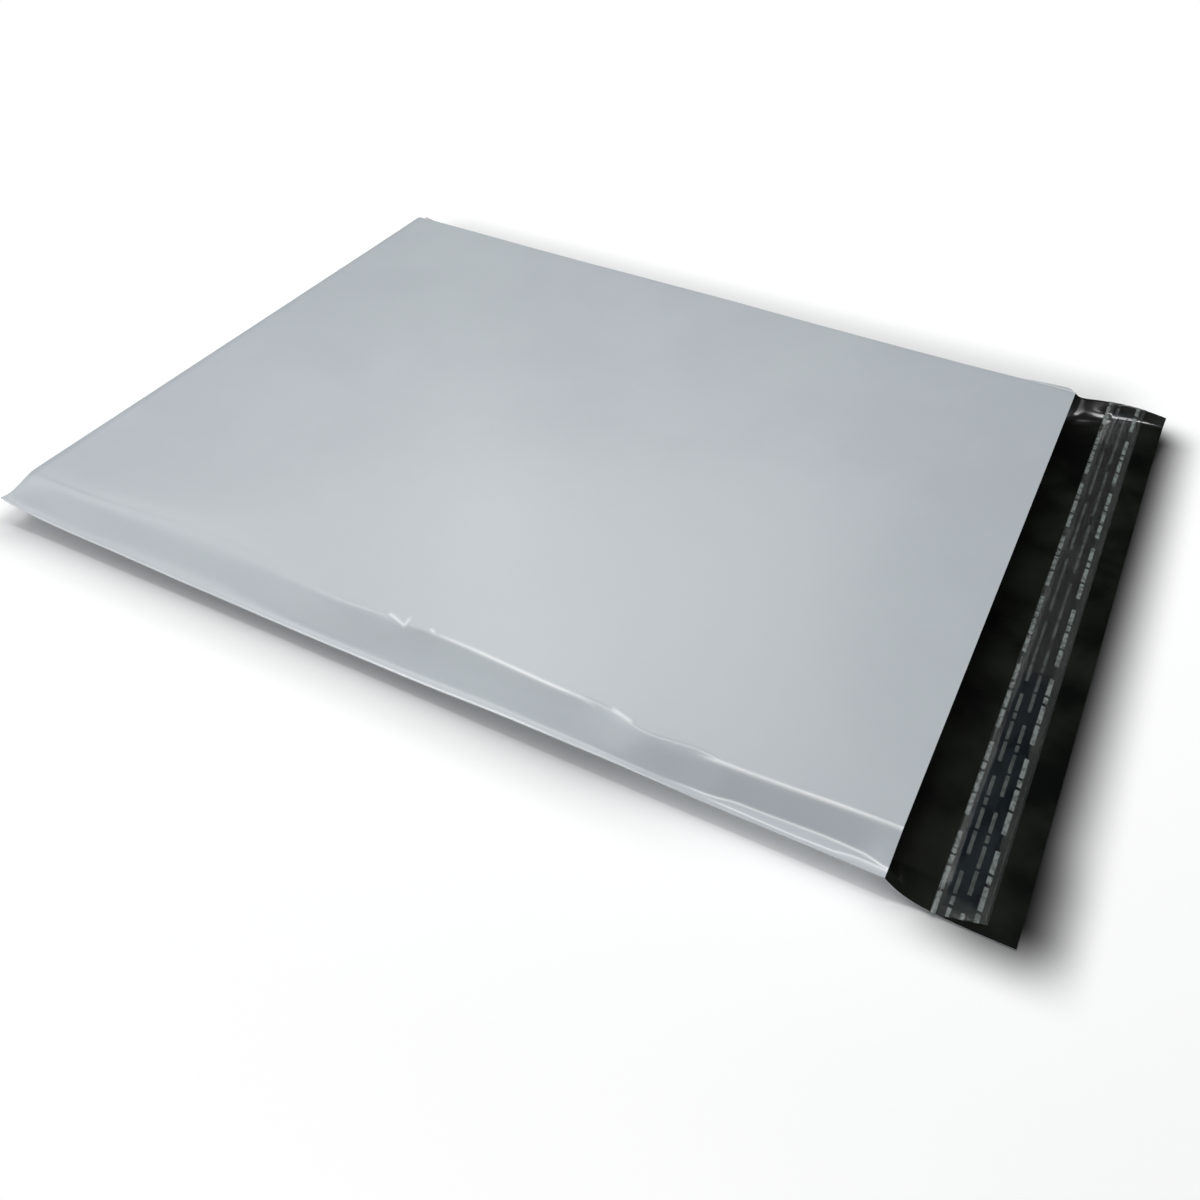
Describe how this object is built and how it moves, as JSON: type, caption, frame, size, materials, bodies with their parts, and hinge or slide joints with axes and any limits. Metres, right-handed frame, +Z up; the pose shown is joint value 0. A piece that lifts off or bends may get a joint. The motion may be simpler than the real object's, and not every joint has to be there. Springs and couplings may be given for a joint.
{
  "type": "poly mailer bag",
  "caption": "Open self-seal mailing pouch of grey film, black inside, lying filled out and flat, its lip laid out with the adhesive strip under a clear release liner.",
  "frame": {"origin": "on the surface that the bag lies on, under the middle of the whole bag with its lip", "axes": "+X along the bag from its folded end to its mouth and lip, +Y across it from the near seam to the far one, +Z up"},
  "size_m": [0.48, 0.358, 0.019],
  "materials": {
    "film": "semi-gloss co-extruded polyethylene film, light bluish grey outside and black inside",
    "adhesive": "tacky hot-melt adhesive over black film",
    "liner": "clear silicone-coated release film with pale printed dashes"
  },
  "bodies": {
    "root": {"film_pouch": "film", "adhesive_strip": "adhesive", "release_liner": "liner"}
  },
  "joints": []
}
